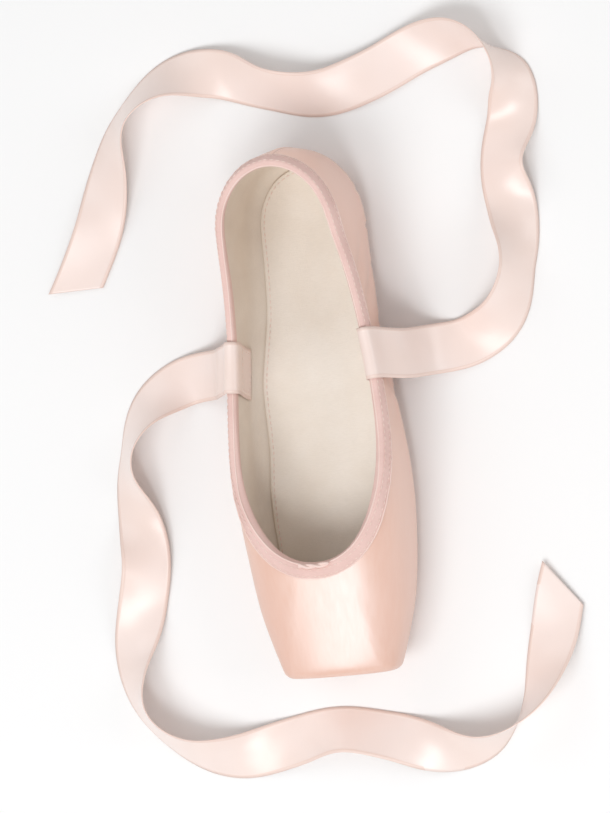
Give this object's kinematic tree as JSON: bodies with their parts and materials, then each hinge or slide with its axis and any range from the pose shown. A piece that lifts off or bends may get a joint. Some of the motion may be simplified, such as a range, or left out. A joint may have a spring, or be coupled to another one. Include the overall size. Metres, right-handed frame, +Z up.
{
  "type": "pointe shoe",
  "caption": "Satin ballet pointe shoe with a stiff boxed toe, flat platform, bound collar, slim leather sole and loose ankle ribbons, standing empty.",
  "frame": {"origin": "on the floor, under the middle of the shoe's own box without the loose ribbons", "axes": "+Z up, -Y to the toe platform and +Y to the heel, +X across the shoe to the right when seen from above with the toe towards the viewer's feet"},
  "size_m": [0.2345, 0.3281, 0.0579],
  "materials": {
    "satin": "smooth peach-pink satin over canvas, soft gloss",
    "sole_leather": "pale tan sueded leather, scored on the forefoot",
    "sock_cloth": "cream cotton sock",
    "binding_tape": "matt pink folded cotton tape",
    "ribbon_satin": "pale pink single-face satin ribbon"
  },
  "bodies": {
    "root": {"outsole": "sole_leather", "upper": "satin", "insole": "sock_cloth", "binding": "binding_tape", "drawstring": "binding_tape", "ribbon_right": "ribbon_satin", "ribbon_left": "ribbon_satin"}
  },
  "joints": []
}
